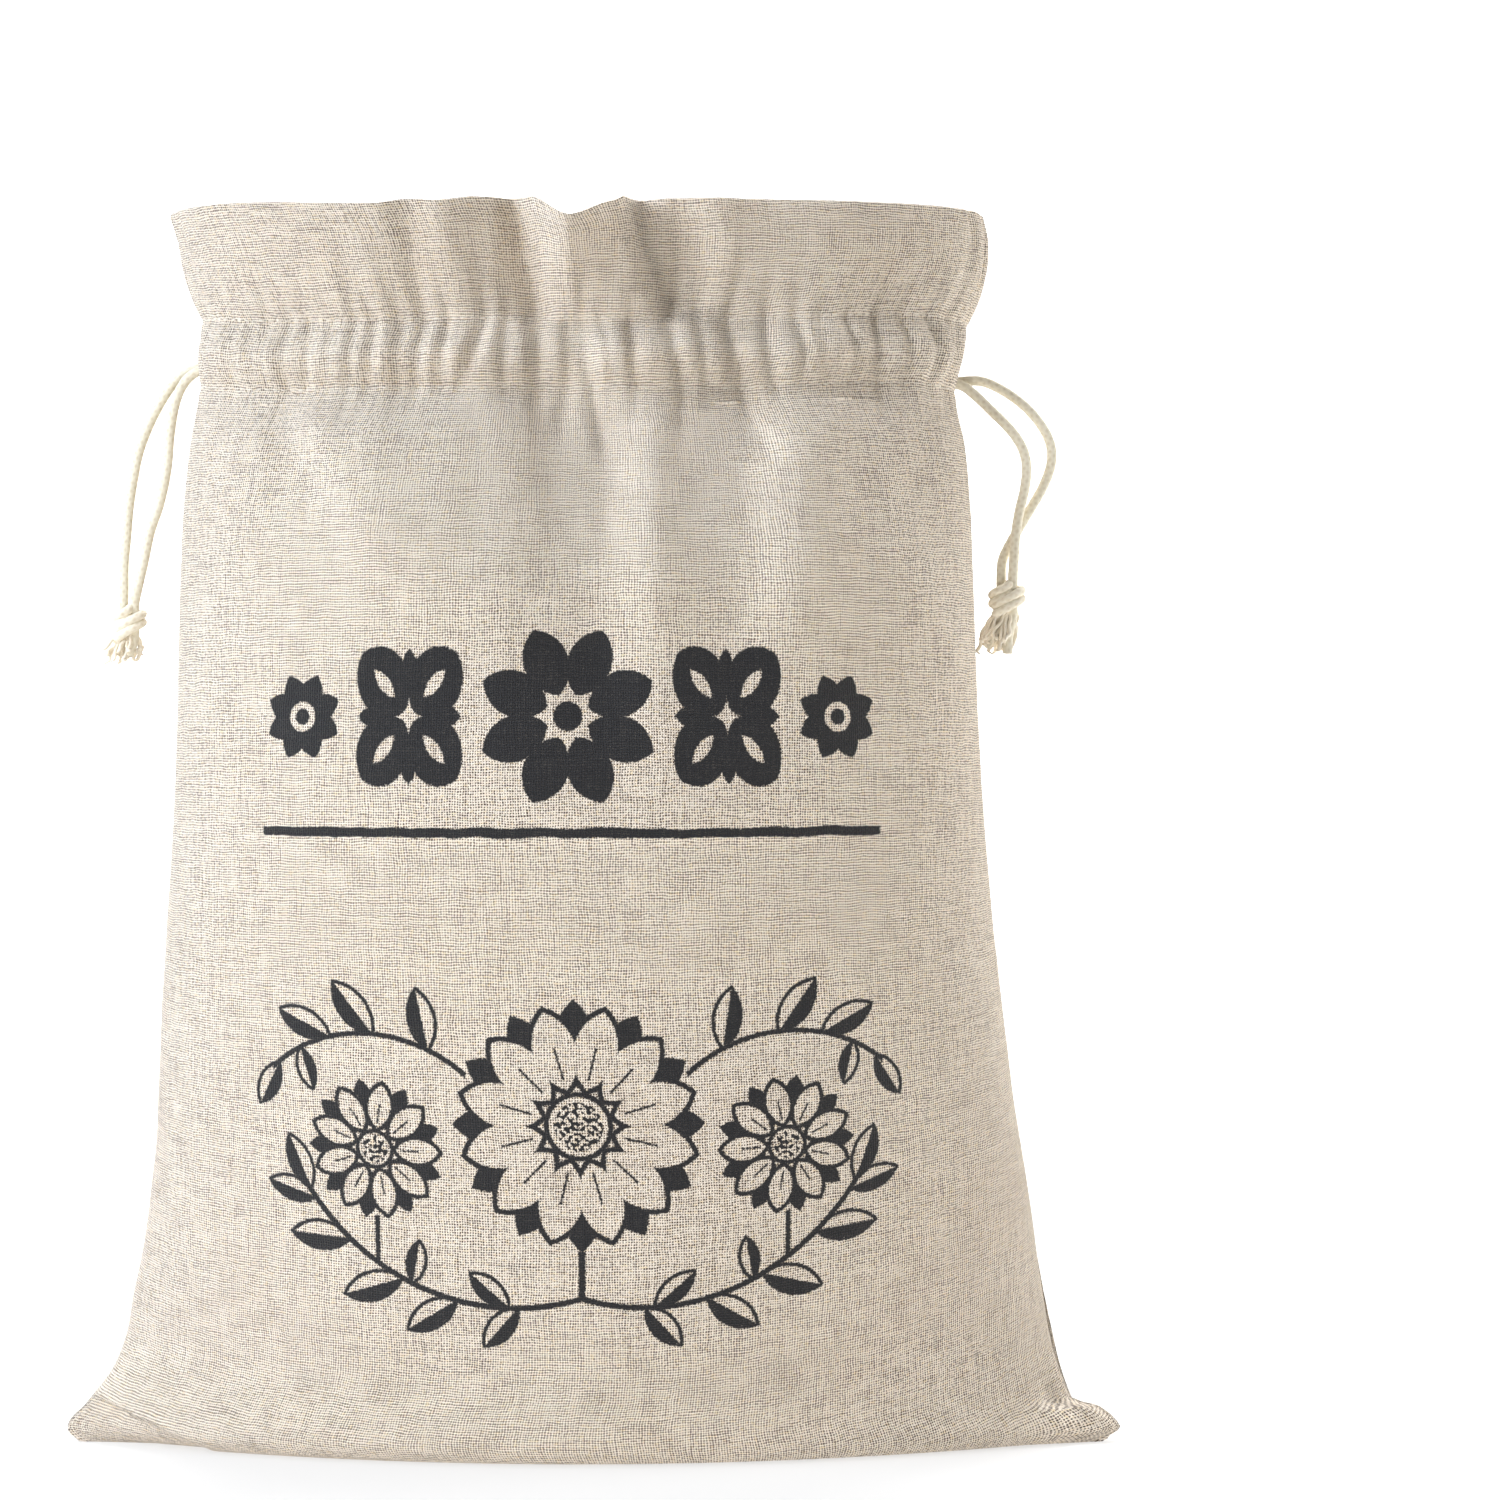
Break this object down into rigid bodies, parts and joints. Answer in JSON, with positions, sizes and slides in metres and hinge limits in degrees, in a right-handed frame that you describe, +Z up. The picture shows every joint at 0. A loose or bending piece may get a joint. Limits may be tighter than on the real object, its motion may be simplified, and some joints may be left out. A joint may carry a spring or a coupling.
{
  "type": "linen bread bag",
  "caption": "Drawstring storage bag of natural linen-cotton cloth with a printed front, standing open and filled out, its neck gathered on cotton cords that hang in knotted loops at both sides.",
  "frame": {"origin": "on the ground, under the middle of the base", "axes": "+Z up, the printed front faces -Y, the side seams are at -X and +X"},
  "size_m": [0.296, 0.1439, 0.345],
  "materials": {
    "linen_cloth": "unbleached plain-weave linen and cotton, matt, with dark ink printed on the front",
    "cotton_cord": "twisted off-white cotton, matt"
  },
  "bodies": {
    "root": {"bag_cloth": "linen_cloth", "cord_left_run": "cotton_cord", "cord_left_front": "cotton_cord", "cord_left_back": "cotton_cord", "knot_left": "cotton_cord", "cord_right_run": "cotton_cord", "cord_right_front": "cotton_cord", "cord_right_back": "cotton_cord", "knot_right": "cotton_cord"}
  },
  "joints": []
}
